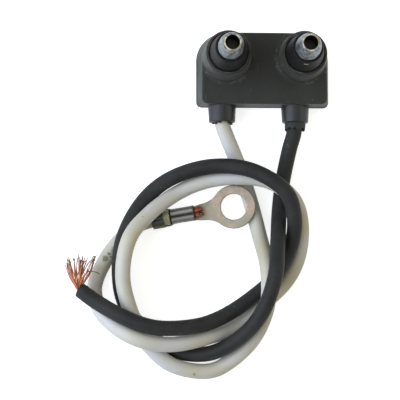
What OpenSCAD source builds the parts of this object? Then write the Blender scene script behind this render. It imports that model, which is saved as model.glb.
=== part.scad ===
// Twin-prong ignition electrode. A potted block carries two stems with socket tips.
// A white and a black lead leave its lead side; the white one ends in a ring terminal.
// Millimetres. The origin is the centre of the block's back face, +Z points up the
// prongs, +X runs from the white lead's prong to the black lead's, and the leads
// leave towards -Y. The part lies on its back face and on its leads.

/* [Block] */
// Distance between the two prong axes
post_pitch = 19; // [17:0.5:24]
// Offset of the prong axes from the origin, towards the rounded side
post_y = 2.2; // [1:0.1:4]
// Distance from the origin to the lead face
lead_face = 9.6; // [9:0.1:12]
// Thickness of the block, back cover included
block_t = 8.5; // [8:0.1:11]
// Height of the bosses' rims above the back face
boss_top = 15.6; // [13:0.1:19]
// Width of the rim that shows around each stem
boss_rim = 0.75; // [0.6:0.05:1.2]
// Draft of the block's walls, in degrees
draft = 8; // [4:0.5:9]
// Draft of the bosses above the block's front, in degrees
boss_draft = 5; // [2:0.5:8]
// Thickness of the back cover
cover_t = 2; // [1.6:0.1:2.4]
// Thickness of the wall that the leads pass through
lead_wall = 2.2; // [1.8:0.1:2.6]
// Thickness of the block's front, above the hollow
roof_t = 2; // [1.7:0.1:2.4]
// Height of the lip that centres the cover in the hollow
lip_h = 0.6; // [0.4:0.1:0.8]
// Width of that lip
lip_w = 1; // [0.8:0.1:1.2]

/* [Prongs] */
// Diameter of each insulating stem inside its boss
stem_d = 9.6; // [8.6:0.1:10]
// Diameter of each stem at its top
stem_top_d = 7.6; // [7.2:0.1:7.8]
// Height of the stems' tops above the back face
stem_top = 23.9; // [21:0.1:28]
// Width of the flange that holds each stem under the roof
flange_w = 0.5; // [0.4:0.05:0.6]
// Thickness of that flange
flange_t = 1.6; // [1.3:0.1:1.6]
// Diameter of each contact pin
pin_d = 3.4; // [3:0.1:4]
// Width of the shoulder on which each tip seats
pin_step = 0.225; // [0.15:0.025:0.3]
// Length of each pin inside its tip
journal_len = 3.1; // [2.5:0.1:3.7]

/* [Tips] */
// Bore of the socket in each tip
socket_d = 3.5; // [3:0.1:4.2]
// Depth of that socket
socket_len = 6; // [5:0.1:7]
// Wall of each tip at its rim
tip_wall = 0.5; // [0.4:0.05:0.6]
// Diameter of each tip where it meets its stem
tip_base_d = 6.4; // [6.2:0.1:7]
// Swell of the tip's flank beyond a straight taper
tip_swell = 0.25; // [0:0.05:0.4]
// Diameter of each tip's shank inside the stem
shank_d = 6; // [5.6:0.1:6.2]
// Length of that shank
shank_len = 2; // [1.6:0.1:2.4]

/* [Leads] */
// Diameter over a lead's insulation
lead_d = 3.9; // [3.5:0.1:4.7]
// Diameter of a lead's copper conductor
conductor_d = 2; // [1.7:0.1:2.4]
// White lead's offset from its prong axis
white_shift = -1; // [-1.2:0.1:0]
// Black lead's offset from its prong axis
black_shift = -1.5; // [-1.5:0.1:0]
// Length of the spigot outside the block
spigot_len = 4.3; // [3.5:0.1:5.2]
// Wall of the spigot around the sleeve
spigot_wall = 0.6; // [0.5:0.05:0.7]
// Thickness of a sleeve's wall
sleeve_wall = 0.35; // [0.3:0.05:0.5]
// Room between a lead and its sleeve
sleeve_room = 0.35; // [0.25:0.05:0.4]
// How far the white lead's sleeve stands out of its spigot
white_sleeve_out = 0.6; // [0.4:0.1:1.2]
// How far the black lead's sleeve stands out of its spigot
black_sleeve_out = 2.1; // [1:0.1:2.5]
// Wall of each pin's crimp barrel
crimp_wall = 0.6; // [0.5:0.05:0.8]

/* [Ring terminal] */
// Diameter of the stud hole
ring_hole_d = 6.5; // [5.4:0.1:7.8]
// Width of the flat ring around the hole
ring_w = 2.25; // [2:0.05:2.7]
// Thickness of the sheet
sheet_t = 0.8; // [0.7:0.05:0.9]
// Distance from the terminal's wire end to the ring's centre
ring_reach = 20.7; // [20:0.1:25]
// Length of the barrel that grips the insulation
grip_len = 3; // [2.5:0.1:3.6]
// Thickness of that barrel
grip_wall = 0.4; // [0.3:0.05:0.5]
// Length of the open window between the two barrels
window_len = 1.9; // [1.6:0.1:2.3]
// Length of the barrel that is crimped on the strands
crimp_len = 6; // [5:0.1:7.2]
// Length of the strands that stand out of that barrel
brush_len = 2; // [1.6:0.1:2.4]
// Width of the tongue just after the strands
tongue_w = 4.2; // [3.6:0.1:5]
// Count of the strands that stand out of the black lead
strand_count = 19; // [9:1:25]
// Diameter of one strand
strand_d = 0.3; // [0.25:0.05:0.4]

/* [Hidden] */
$fn = 64;

fit = 0.05;    // radial room of a part that is glued or pressed into its seat
lead_fit = 0.1;    // radial room around a lead, a conductor or a flange
lip_fit = 0.15;    // room between the cover's lip and the hollow
cut = 1;    // how far a cutting shape reaches past a face
left = -post_pitch / 2;
right = post_pitch / 2;

// block
bore_r = stem_d / 2 + fit;
// boss radius at height z
function boss_r(z) = bore_r + boss_rim + (boss_top - z) * tan(boss_draft);
corner_r = boss_r(block_t) + block_t * tan(draft);    // corner radius at the back face
function edge_r(z) = corner_r - z * tan(draft);    // corner radius at height z
function half_w(z) = post_pitch / 2 + edge_r(z);    // half the block's width at height z
flange_r = stem_d / 2 + flange_w;
hollow_r = flange_r + lead_fit;
hollow_y = -lead_face + lead_wall;    // inner face of the lead wall
hollow_top = block_t - roof_t;
shoulder_z = hollow_top + flange_t;    // where each stem's flange stops
lead_z = (cover_t + hollow_top) / 2;

// contact pins and tips
barrel_bore_r = conductor_d / 2 + lead_fit;
barrel_r = barrel_bore_r + crimp_wall;
barrel_y = hollow_y + 2;    // mouth of the crimp barrel
barrel_bottom_y = post_y - 3.1;    // bottom of the barrel's bore
insulation_y = hollow_y + 0.9;    // where a lead's insulation is cut inside the block
conductor_end_y = barrel_bottom_y - lead_fit;
journal_r = pin_d / 2 - pin_step;
pin_top = stem_top - shank_len;    // shoulder that carries the tip
journal_top = pin_top + journal_len;
tip_top = journal_top + socket_len;
tip_rim_r = socket_d / 2 + tip_wall;

// lead exits
lead_bore_r = lead_d / 2 + lead_fit;
neck_r = lead_bore_r + 0.65;
neck_hole_r = neck_r + fit;
sleeve_in_r = lead_d / 2 + sleeve_room;
sleeve_r = sleeve_in_r + sleeve_wall;
spigot_end_r = sleeve_r + fit + spigot_wall;
spigot_base_r = spigot_end_r + 0.25;
spigot_end_y = -lead_face - spigot_len;
sleeve_seat_y = -lead_face - 0.3;    // bottom of the sleeve's counterbore
white_x = left + white_shift;
black_x = right + black_shift;

// ring terminal, along its own axis from the wire end
terminal_at = [-28, -38.5, 2.5];
terminal_tilt = [0, -10, 9];
crimp_start = grip_len + window_len;
crimp_end = crimp_start + crimp_len;
brush_end = crimp_end + brush_len;
insulation_end = crimp_start - 0.4;
grip_in_r = lead_bore_r;
grip_r = grip_in_r + grip_wall;
crimp_in_r = conductor_d / 2 + 0.2;
crimp_r = crimp_in_r + sheet_t;
ring_r = ring_hole_d / 2 + ring_w;
function terminal_point(u) = terminal_at + u * [
    cos(-terminal_tilt.y) * cos(terminal_tilt.z),
    cos(-terminal_tilt.y) * sin(terminal_tilt.z),
    sin(-terminal_tilt.y)];

// routes of the two leads: straight out of the block, then free
tube_sides = 8;
white_route = concat(
    [for (y = [insulation_y, (insulation_y + spigot_end_y) / 2, spigot_end_y])
        [white_x, y, lead_z]],
    [[white_x + 1, spigot_end_y - 3.1, lead_z - 0.25],
    [-8, -20.5, 3.5], [-5.5, -26.5, 2.2], [-3, -34.5, 2.2],
    [-1, -43, 4.2], [0.5, -51, 8.8], [0.5, -60, 9], [-2.5, -68, 5], [-8.5, -74, 2.5],
    [-14.5, -76.5, 2.5], [-23, -75, 4], [-29, -70, 5.5], [-33, -63, 7],
    [-35.5, -53.5, 8.8], [-34, -44, 10.3], [-29, -37.5, 8], [-22, -32, 5],
    [-15, -29, 5.3], [-7, -28, 6.3], [1, -29, 6.8], [7, -33, 6.3], [9.5, -39, 3.5],
    [9, -47, 2.2], [6, -53.5, 2], [0, -59.5, 2], [-7, -65, 2.4], [-14, -68, 5.5],
    [-23.5, -70, 8.5], [-32.5, -68.5, 10], [-40, -63, 6], [-42.5, -56, 2.7],
    [-40, -49, 2.1], [-36, -43.5, 2.1], [-31.5, -39.7, 2.2]],
    [for (u = [0.5, insulation_end]) terminal_point(u)]);
black_route = concat(
    [for (y = [insulation_y, (insulation_y + spigot_end_y) / 2, spigot_end_y])
        [black_x, y, lead_z]],
    [[black_x - 0.4, spigot_end_y - 3.1, lead_z - 0.25],
    [6.5, -21, 3.5], [5, -28.5, 2.2], [4, -36, 3.3], [3, -45, 9.9],
    [2, -53.5, 13.4], [-1, -62, 12.5], [-6, -68, 8.5], [-13.5, -72, 4.5],
    [-22, -71.5, 2.3], [-28, -68, 2.1], [-33.5, -62, 3], [-36, -55.5, 4],
    [-36, -46, 6], [-33, -38, 5.8], [-28, -31.5, 5.5], [-21.5, -27.5, 7],
    [-13, -25.5, 8.5], [-4, -26.5, 10.5], [4, -31, 11], [7, -36.5, 9.4], [7, -44, 6],
    [2.5, -53, 4.8], [-3.5, -58.5, 5.5], [-10.5, -63, 7.5], [-17.5, -65.5, 9.5],
    [-27, -66, 11.5], [-35, -63.5, 11], [-42, -59.5, 8.5], [-46, -56.5, 7]]);
black_end = black_route[len(black_route) - 1];
black_end_way = unit(black_end - black_route[len(black_route) - 2]);

function unit(v) = v / norm(v);
// direction of a route at point i, from its neighbours
function way(route, i) =
    unit(route[min(i + 1, len(route) - 1)] - route[max(i - 1, 0)]);
// one ring of a tube: a polygon across the route, flat side down
function ring(at, along, r) =
    let (side = unit(cross(along, [0, 0, 1])), up = cross(side, along))
    [for (k = [0:tube_sides - 1])
        let (a = 360 * (k + 0.5) / tube_sides) at + r * (cos(a) * side + sin(a) * up)];

// A closed tube of radius r along a route
module tube(route, r) {
    last = len(route) - 1;
    points = [for (i = [0:last]) each ring(route[i], way(route, i), r)];
    walls = [for (i = [0:last - 1], k = [0:tube_sides - 1])
        let (a = i * tube_sides + k, b = i * tube_sides + (k + 1) % tube_sides)
        each [[a, b, b + tube_sides], [a, b + tube_sides, a + tube_sides]]];
    start = [for (k = [tube_sides - 1:-1:0]) k];
    end = [for (k = [0:tube_sides - 1]) last * tube_sides + k];
    polyhedron(points, concat(walls, [start, end]));
}

// A straight rod from point a to point b
module rod(a, b, d) {
    span = b - a;
    turn = atan2(span.y, span.x);
    lean = acos(span.z / norm(span));
    translate(a)
        rotate([0, lean, turn])
            cylinder(h = norm(span), d = d, $fn = 6);
}

// A cylinder along Y, from y0 to y1, at the leads' height
module lead_cylinder(x, y0, y1, r0, r1) {
    translate([x, y0, lead_z])
        rotate([y1 < y0 ? 90 : -90, 0, 0])
            cylinder(h = abs(y1 - y0), r1 = r0, r2 = r1);
}

// The block's outer shape from height z0 to z1, with its drafted walls
module drafted_block(z0, z1) {
    for (x = [left, right])
        translate([x, post_y, z0])
            cylinder(h = z1 - z0, r1 = edge_r(z0), r2 = edge_r(z1));
    translate([left, 0, 0])
        rotate([90, 0, 90])
            linear_extrude(post_pitch)
                polygon([[-lead_face, z0], [post_y + edge_r(z0), z0],
                    [post_y + edge_r(z1), z1], [-lead_face, z1]]);
    translate([0, post_y, 0])
        rotate([90, 0, 0])
            linear_extrude(lead_face + post_y)
                polygon([[-half_w(z0), z0], [half_w(z0), z0],
                    [half_w(z1), z1], [-half_w(z1), z1]]);
}

// Plan of the hollow, drawn in by the given inset
module hollow_plan(inset) {
    r = hollow_r - inset;
    low_y = hollow_y + inset;
    for (x = [left, right])
        translate([x, post_y])
            circle(r);
    translate([left, low_y])
        square([post_pitch, post_y + r - low_y]);
    translate([left - r, low_y])
        square([post_pitch + 2 * r, post_y - low_y]);
}

module back_cover() {
    color("#343432")
        difference() {
            union() {
                drafted_block(0, cover_t);
                translate([0, 0, cover_t])
                    linear_extrude(lip_h)
                        difference() {
                            hollow_plan(lip_fit);
                            hollow_plan(lip_fit + lip_w);
                        }
            }
            for (x = [white_x, black_x])
                lead_cylinder(x, -lead_face - cut, hollow_y + lip_fit + lip_w + fit,
                    neck_hole_r, neck_hole_r);
        }
}

module housing() {
    color("#3a3a38")
        difference() {
            union() {
                drafted_block(cover_t, block_t);
                for (x = [left, right])
                    translate([x, post_y, cover_t])
                        cylinder(h = boss_top - cover_t, r1 = boss_r(cover_t),
                            r2 = boss_r(boss_top));
            }
            translate([0, 0, cover_t - cut])
                linear_extrude(hollow_top - cover_t + cut)
                    hollow_plan(0);
            for (x = [left, right])
                translate([x, post_y, 0]) {
                    cylinder(h = shoulder_z, r = hollow_r);
                    cylinder(h = boss_top + cut, r = bore_r);
                }
            for (x = [white_x, black_x])
                lead_cylinder(x, -lead_face - cut, hollow_y + fit,
                    neck_hole_r, neck_hole_r);
        }
}

// The resin around the pins, with room for everything that it holds
module potting() {
    resin_z = cover_t + lip_h;
    color("#4a4034")
        difference() {
            translate([0, 0, resin_z])
                linear_extrude(hollow_top - resin_z)
                    hollow_plan(fit);
            for (p = [[left, white_x], [right, black_x]]) {
                translate([p[0], post_y, 0])
                    cylinder(h = hollow_top + cut, r = pin_d / 2 + fit);
                lead_cylinder(p[1], barrel_y - fit, post_y,
                    barrel_r + fit, barrel_r + fit);
                lead_cylinder(p[1], insulation_y, barrel_y, barrel_r, barrel_r);
                lead_cylinder(p[1], hollow_y - cut, insulation_y + fit,
                    lead_bore_r, lead_bore_r);
            }
        }
}

module stem(x) {
    color("#2c2c2c")
        translate([x, post_y, 0])
            rotate_extrude()
                polygon([[pin_d / 2 + fit, hollow_top], [flange_r, hollow_top],
                    [flange_r, shoulder_z], [stem_d / 2, shoulder_z],
                    [stem_d / 2, boss_top], [stem_top_d / 2, stem_top],
                    [shank_d / 2 + fit, stem_top], [shank_d / 2 + fit, pin_top],
                    [pin_d / 2 + fit, pin_top]]);
}

module tip(x) {
    flank_steps = 8;
    flank_h = tip_top - stem_top;
    // radius of the flank at the share t of its height: a taper with a swell
    flank = [for (i = [0:flank_steps]) let (t = i / flank_steps)
        [tip_base_d / 2 * (1 - t) + tip_rim_r * t + tip_swell * 4 * t * (1 - t),
        stem_top + flank_h * t]];
    color("#b9b2a4")
        translate([x, post_y, 0])
            rotate_extrude()
                polygon(concat(
                    [[journal_r + fit / 2, pin_top], [shank_d / 2, pin_top],
                    [shank_d / 2, stem_top]],
                    flank,
                    [[socket_d / 2, tip_top], [socket_d / 2, journal_top],
                    [journal_r + fit / 2, journal_top]]));
}

// A contact pin with the barrel that is crimped on its lead's conductor
module pin(x, lead_x) {
    pin_z = lead_z - barrel_r + 0.3;    // foot of the shank, beside the barrel
    color("#c9a24a")
        difference() {
            union() {
                translate([x, post_y, pin_z])
                    cylinder(h = pin_top - pin_z, d = pin_d);
                translate([x, post_y, pin_z])
                    cylinder(h = journal_top - pin_z, r = journal_r);
                lead_cylinder(lead_x, barrel_y, post_y, barrel_r, barrel_r);
            }
            lead_cylinder(lead_x, barrel_y - cut, barrel_bottom_y,
                barrel_bore_r, barrel_bore_r);
        }
}

module grommet(x) {
    color("#2b2b2d")
        difference() {
            union() {
                lead_cylinder(x, -lead_face, spigot_end_y, spigot_base_r, spigot_end_r);
                lead_cylinder(x, hollow_y, -lead_face, neck_r, neck_r);
            }
            lead_cylinder(x, hollow_y + cut, spigot_end_y - cut, lead_bore_r, lead_bore_r);
            lead_cylinder(x, sleeve_seat_y, spigot_end_y - cut,
                sleeve_r + fit, sleeve_r + fit);
        }
}

module sleeve(x, out) {
    color("#1f1f20")
        difference() {
            lead_cylinder(x, sleeve_seat_y, spigot_end_y - out, sleeve_r, sleeve_r);
            lead_cylinder(x, sleeve_seat_y + cut, spigot_end_y - out - cut,
                sleeve_in_r, sleeve_in_r);
        }
}

module conductor(x) {
    color("#b8693a")
        lead_cylinder(x, insulation_y, conductor_end_y, conductor_d / 2, conductor_d / 2);
}

module lead_white() {
    color("#e4e2d8")
        tube(white_route, lead_d / 2);
}

module lead_black() {
    color("#323234")
        tube(black_route, lead_d / 2);
}

// Places a shape that is drawn along X, from the terminal's wire end
module at_terminal() {
    translate(terminal_at)
        rotate(terminal_tilt)
            children();
}

// A cylinder along the terminal, from u0 to u1
module barrel_cylinder(u0, u1, r) {
    translate([u0, 0, 0])
        rotate([0, 90, 0])
            cylinder(h = u1 - u0, r = r);
}

module ring_terminal() {
    step_len = 0.5;    // where the window's trough steps down to the crimp barrel
    tongue_start = crimp_end - step_len;
    tongue_end = ring_reach - ring_r + 2;
    ring_edge = sqrt(pow(ring_r, 2) - pow(ring_r - 2, 2));    // half width where it meets
    color("#b5aa98")
        at_terminal()
            difference() {
                union() {
                    barrel_cylinder(0, grip_len, grip_r);
                    intersection() {
                        barrel_cylinder(0, crimp_start + step_len, grip_r);
                        translate([0, -grip_r, -grip_r])
                            cube([crimp_start + step_len, 2 * grip_r, grip_r - 0.6]);
                    }
                    barrel_cylinder(crimp_start, crimp_end, crimp_r);
                    translate([0, 0, -crimp_r])
                        linear_extrude(sheet_t) {
                            polygon([[tongue_start, -crimp_r * 0.9],
                                [brush_end, -tongue_w / 2], [tongue_end, -ring_edge],
                                [tongue_end, ring_edge], [brush_end, tongue_w / 2],
                                [tongue_start, crimp_r * 0.9]]);
                            translate([ring_reach, 0])
                                circle(ring_r);
                        }
                }
                barrel_cylinder(-cut, crimp_start, grip_in_r);
                barrel_cylinder(0, crimp_end + cut, crimp_in_r);
                // the seam between the two rolled lobes of the crimp
                translate([0, 0, crimp_r + 0.05])
                    barrel_cylinder(crimp_start - cut, crimp_end + cut, 0.5);
                translate([ring_reach, 0, -crimp_r - cut])
                    cylinder(h = sheet_t + 2 * cut, d = ring_hole_d);
            }
}

module ring_strands() {
    color("#b8693a")
        at_terminal()
            barrel_cylinder(insulation_end, brush_end, crimp_in_r - fit);
}

// The black lead's bared strands: a short bundle that splays into a fan
module loose_strands() {
    bundle_len = 1.2;
    fan_w = 7.8;    // how far the strand ends spread along X
    reach = 7.2;    // how far they reach along +Y
    root = black_end + bundle_len * black_end_way;
    color("#c06a35") {
        rod(black_end, root, conductor_d);
        for (i = [0:strand_count - 1]) {
            share = i / (strand_count - 1);
            from = root - 0.4 * black_end_way + [0.5 * (share - 0.5), 0, 0.5 * sin(i * 110)];
            to = black_end + [fan_w * (share - 0.5), reach + 0.6 * cos(i * 137), sin(i * 80)];
            rod(from, to, strand_d);
        }
    }
}

back_cover();
housing();
potting();
stem(left);  // stem_left
stem(right);  // stem_right
tip(left);  // tip_left
tip(right);  // tip_right
pin(left, white_x);  // pin_left
pin(right, black_x);  // pin_right
grommet(white_x);  // grommet_left
grommet(black_x);  // grommet_right
sleeve(white_x, white_sleeve_out);  // sleeve_left
sleeve(black_x, black_sleeve_out);  // sleeve_right
conductor(white_x);  // conductor_left
conductor(black_x);  // conductor_right
lead_white();
lead_black();
ring_terminal();
ring_strands();
loose_strands();
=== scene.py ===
# Twin-prong ignition electrode: the looks of each piece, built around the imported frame.
import math
import random
import bmesh
import bpy
from mathutils import Euler, Matrix, Vector


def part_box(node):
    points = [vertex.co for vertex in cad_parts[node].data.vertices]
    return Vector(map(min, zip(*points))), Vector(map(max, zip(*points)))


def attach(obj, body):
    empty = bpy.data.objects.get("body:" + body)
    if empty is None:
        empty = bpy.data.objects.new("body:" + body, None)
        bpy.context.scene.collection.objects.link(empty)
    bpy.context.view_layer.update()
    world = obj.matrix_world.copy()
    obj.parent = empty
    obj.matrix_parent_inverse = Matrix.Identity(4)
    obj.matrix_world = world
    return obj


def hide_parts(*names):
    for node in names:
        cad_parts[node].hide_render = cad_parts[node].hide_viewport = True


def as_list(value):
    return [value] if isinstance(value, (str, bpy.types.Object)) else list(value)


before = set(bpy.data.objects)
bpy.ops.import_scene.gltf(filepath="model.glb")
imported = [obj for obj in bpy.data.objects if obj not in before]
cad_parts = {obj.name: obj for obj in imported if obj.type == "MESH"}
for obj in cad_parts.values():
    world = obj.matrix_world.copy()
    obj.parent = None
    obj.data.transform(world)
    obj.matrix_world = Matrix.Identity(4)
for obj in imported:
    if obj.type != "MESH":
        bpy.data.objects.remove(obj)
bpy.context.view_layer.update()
mm = 0.001
body = "root"
print("stage: frame loaded")


def toLinear(hexText):
    # sRGB hex to linear RGBA
    parts = [int(hexText[i:i + 2], 16) / 255 for i in (1, 3, 5)]
    return [c / 12.92 if c <= 0.04045 else ((c + 0.055) / 1.055) ** 2.4 for c in parts] + [1]


def perMetre(sizeMm):
    # texture scale at which one feature is this many millimetres wide; a wave has 20 / 2 pi
    # bands in a unit, and a slanting one 10 / 2 pi along each axis
    return 1 / (sizeMm * mm)


def addNode(tree, kind, values={}, links={}, **settings):
    node = tree.nodes.new("ShaderNode" + kind)
    for name, value in settings.items():
        setattr(node, name, value)
    for socket, value in values.items():
        node.inputs[socket].default_value = value
    for socket, source in links.items():
        tree.links.new(source, node.inputs[socket])
    return node


def newMaterial(name, metallic=0.0, roughness=0.5):
    material = bpy.data.materials.new(name)
    material.use_nodes = True
    tree = material.node_tree
    shader = tree.nodes["Principled BSDF"]
    shader.inputs["Metallic"].default_value = metallic
    shader.inputs["Roughness"].default_value = roughness
    place = addNode(tree, "TexCoord").outputs["Object"]
    return material, tree, shader, place


def combined(tree, values, operation):
    # several masks or distances joined into one, two at a time
    total = values[0]
    for value in values[1:]:
        total = addNode(tree, "Math", {}, {0: total, 1: value}, operation=operation).outputs[0]
    return total


def patches(tree, place, sizeMm, low, high, most=1.0, detail=2.0, roughness=0.5):
    # noise of the given grain, as it is, and pushed into patches that rise from low to high
    noise = addNode(tree, "TexNoise", {"Scale": perMetre(sizeMm), "Detail": detail,
                    "Roughness": roughness}, {"Vector": place}).outputs["Fac"]
    raised = addNode(tree, "MapRange", {"From Min": low, "From Max": high,
                     "To Max": most}, {"Value": noise}).outputs["Result"]
    return noise, raised


def specks(tree, place, cellMm, amount):
    # at most one speck in each cell, the larger the higher the amount
    cells = addNode(tree, "TexVoronoi", {"Scale": perMetre(cellMm)}, {"Vector": place})
    return addNode(tree, "Math", {}, {0: cells.outputs["Distance"], 1: amount},
                   operation="LESS_THAN").outputs[0]


def spotMask(tree, place, spots, wobble):
    # 1 inside any of the given spots (place and radius in millimetres), with a broken edge
    masks = []
    for spot, radius in spots:
        away = addNode(tree, "VectorMath", {1: tuple(Vector(spot) * mm)},
                       {0: place}, operation="DISTANCE")
        broken = addNode(tree, "Math", {1: -0.9 * radius * mm},
                         {0: wobble, 2: away.outputs["Value"]}, operation="MULTIPLY_ADD")
        inside = addNode(tree, "MapRange",
                         {"From Min": 0.15 * radius * mm, "From Max": 0.75 * radius * mm,
                          "To Min": 1.0, "To Max": 0.0}, {"Value": broken.outputs[0]})
        masks.append(inside.outputs["Result"])
    return combined(tree, masks, "MAXIMUM")


def painted(tree, shades, between, coats=()):
    # a colour between two shades, then coats over it: colour, mask and strength
    colour = addNode(tree, "Mix", {6: toLinear(shades[0]), 7: toLinear(shades[1])},
                     {0: between}, data_type="RGBA").outputs[2]
    for hexText, mask, strength in coats:
        cover = addNode(tree, "Math", {1: strength}, {0: mask},
                        operation="MULTIPLY").outputs[0]
        colour = addNode(tree, "Mix", {7: toLinear(hexText)},
                         {0: cover, 6: colour}, data_type="RGBA").outputs[2]
    return colour


def connect(tree, shader, colour, dull=None, dullness=(0, 1), relief=None, strength=0.2,
            depth=0.05):
    # joins up a material: its colour, its dullness where dull is 0 and 1, and its fine
    # relief, whose depth is in millimetres
    tree.links.new(colour, shader.inputs["Base Color"])
    if dull is not None:
        rough = addNode(tree, "MapRange", {"To Min": dullness[0],
                        "To Max": dullness[1]}, {"Value": dull})
        tree.links.new(rough.outputs["Result"], shader.inputs["Roughness"])
    if relief is not None:
        bump = addNode(tree, "Bump", {"Strength": strength, "Distance": depth * mm},
                       {"Height": relief})
        tree.links.new(bump.outputs["Normal"], shader.inputs["Normal"])


def seenDirectly(tree):
    # 1 for what the camera sees, straight, in a reflection or through something clear
    path = addNode(tree, "LightPath")
    return combined(tree, [path.outputs[ray] for ray in (
        "Is Camera Ray", "Is Glossy Ray", "Is Transmission Ray")], "MAXIMUM")


def placed(name, data):
    # a new object in the scene
    thing = bpy.data.objects.new(name, data)
    bpy.context.scene.collection.objects.link(thing)
    return thing


def newPiece(name, data, material, node):
    # a piece that stands for one CAD node
    piece = placed(name, data)
    data.materials.append(material)
    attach(piece, body)
    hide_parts(node)
    return piece


def refinish(node, material):
    # gives a CAD node that stays a material of its own
    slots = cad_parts[node].data.materials
    slots.clear()
    slots.append(material)


def boxOf(node):
    return [Vector(c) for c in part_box(node)]


def meshFrom(name, points, faces):
    mesh = bpy.data.meshes.new(name)
    mesh.from_pydata([tuple(p) for p in points], [], faces)
    work = bmesh.new()
    work.from_mesh(mesh)
    bmesh.ops.recalc_face_normals(work, faces=work.faces)
    work.to_mesh(mesh)
    work.free()
    for face in mesh.polygons:
        face.use_smooth = True
    return mesh


def joined(name, meshes, weld=0.0):
    # one mesh that holds copies of several, with corners closer than the weld made one
    work = bmesh.new()
    for mesh in meshes:
        work.from_mesh(mesh)
    if weld:
        bmesh.ops.remove_doubles(work, verts=work.verts, dist=weld * mm)
    result = bpy.data.meshes.new(name)
    work.to_mesh(result)
    work.free()
    return result


def applied(thing):
    # a copy of its mesh with its modifiers applied
    return bpy.data.meshes.new_from_object(
        thing.evaluated_get(bpy.context.evaluated_depsgraph_get()))


def fused(name, mesh, voxel, rounding, pick=None, press=None):
    # voxel skin over closed shapes, then smoothing that rounds its edges; press(point)
    # moves a point first, and pick(point) says how strongly it is smoothed, from 0 to 1
    holder = placed(name, mesh)
    skin = holder.modifiers.new("skin", "REMESH")
    skin.mode = "VOXEL"
    skin.voxel_size = voxel * mm
    skinned = applied(holder)
    holder.modifiers.clear()
    holder.data = skinned
    group = holder.vertex_groups.new(name="soften")
    for vertex in skinned.vertices:
        if press:
            vertex.co = press(vertex.co)
        group.add([vertex.index], pick(vertex.co) if pick else 1.0, "REPLACE")
    smooth = holder.modifiers.new("smooth", "SMOOTH")
    smooth.factor = 0.5
    smooth.iterations = rounding
    smooth.vertex_group = "soften"
    result = applied(holder)
    bpy.data.objects.remove(holder)
    for face in result.polygons:
        face.use_smooth = True
    return result


def loftMesh(name, rows, closed=True):
    # a skin over rows of points, each row a closed loop: the last row meets the first,
    # or both ends are capped
    n, count = len(rows[0]), len(rows)
    faces = []
    for i in range(count if closed else count - 1):
        a, b = i * n, (i + 1) % count * n
        faces += [(a + k, b + k, b + (k + 1) % n, a + (k + 1) % n) for k in range(n)]
    if not closed:
        last = (count - 1) * n
        faces += [tuple(range(n)), tuple(range(last, last + n))]
    return meshFrom(name, [p for row in rows for p in row], faces)


def roundedProfile(corners, steps=5):
    # corners are (radius, height, rounding); each rounding becomes a short arc
    points = []
    count = len(corners)
    for i, (r, h, rounding) in enumerate(corners):
        here = Vector((r, h))
        before = Vector(corners[i - 1][:2]) - here
        after = Vector(corners[(i + 1) % count][:2]) - here
        reach = min(rounding, before.length * 0.45, after.length * 0.45)
        if reach <= 0:
            points.append(here)
            continue
        a = here + before.normalized() * reach
        b = here + after.normalized() * reach
        for k in range(steps + 1):
            t = k / steps
            points.append(a * (1 - t) ** 2 + here * 2 * t * (1 - t) + b * t ** 2)
    return points


def latheMesh(name, corners, centre, turn=None, segments=96):
    # revolves a closed profile in millimetres about a vertical axis through the centre
    profile = roundedProfile(corners)
    rows = []
    for s in range(segments):
        angle = 2 * math.pi * s / segments
        row = [Vector((p.x * math.cos(angle), p.x * math.sin(angle), p.y)) * mm
               for p in profile]
        rows.append([(turn @ spot if turn else spot) + centre for spot in row])
    return loftMesh(name, rows)


def roundCurve(name, diameter, resolution, bevelResolution):
    curve = bpy.data.curves.new(name, "CURVE")
    curve.dimensions = "3D"
    curve.resolution_u = resolution
    curve.bevel_depth = diameter / 2 * mm
    curve.bevel_resolution = bevelResolution
    curve.use_fill_caps = True
    return curve


def smoothRoute(route, steps):
    # points along the smooth curve through a route
    line = []
    for i in range(len(route) - 1):
        p0 = route[max(i - 1, 0)]
        p1, p2 = route[i], route[i + 1]
        p3 = route[min(i + 2, len(route) - 1)]
        m1, m2 = (p2 - p0) / 2, (p3 - p1) / 2
        for k in range(steps):
            t = k / steps
            line.append(p1 * (2 * t**3 - 3 * t**2 + 1) + m1 * (t**3 - 2 * t**2 + t)
                        + p2 * (3 * t**2 - 2 * t**3) + m2 * (t**3 - t**2))
    return line + [route[-1]]


camera = {
    "place": (-45.287, -89.770, 570.899),    # millimetres, nearly straight above
    "turn": (5.660, -2.947, -0.042),    # degrees
    "lens": 204.05,
    "sensor": 36.0,
}

cameraData = bpy.data.cameras.new("camera")
cameraData.lens = camera["lens"]
cameraData.sensor_width = camera["sensor"]
cameraData.clip_start = 0.01
cameraObject = placed("camera", cameraData)
cameraObject.location = Vector(camera["place"]) * mm
cameraObject.rotation_euler = Euler([math.radians(a) for a in camera["turn"]], "XYZ")
bpy.context.scene.camera = cameraObject
bpy.context.scene.view_settings.view_transform = "Standard"
print("stage: camera set")


leads = {
    "diameter": 3.9,
    "waist": 0.01,    # half of the most that a lead is slimmer, as a share,
    "waistEvery": 2.3,    # and how that varies from point to point (radians)
    "whiteShades": ("#dad9db", "#d0cbb8"),
    "blackShades": ("#29292a", "#3a3b3a"),
    "terminalAt": (-28, -38.5, 2.5),    # wire end of the ring terminal
    "terminalTilt": (0, -10, 9),    # degrees
    "insulationEnd": 4.5,    # how far the white lead's insulation reaches into the terminal
    # oil stains on the white lead: place and radius in millimetres
    "stains": [((-39.8, -48.3, 4.0), 0.85), ((-37.3, -46.4, 4.0), 1.1),
               ((-38.9, -47.2, 4.0), 0.45), ((-40.9, -47.7, 4.0), 0.4),
               ((-38.4, -47.9, 4.0), 0.35), ((-17.6, -77.2, 4.4), 0.4)],
    "endStainAt": 3.9,    # how far into the terminal its end is most yellowed,
    "endStain": 3.2,    # and how far the yellowing reaches from there
}


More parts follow.
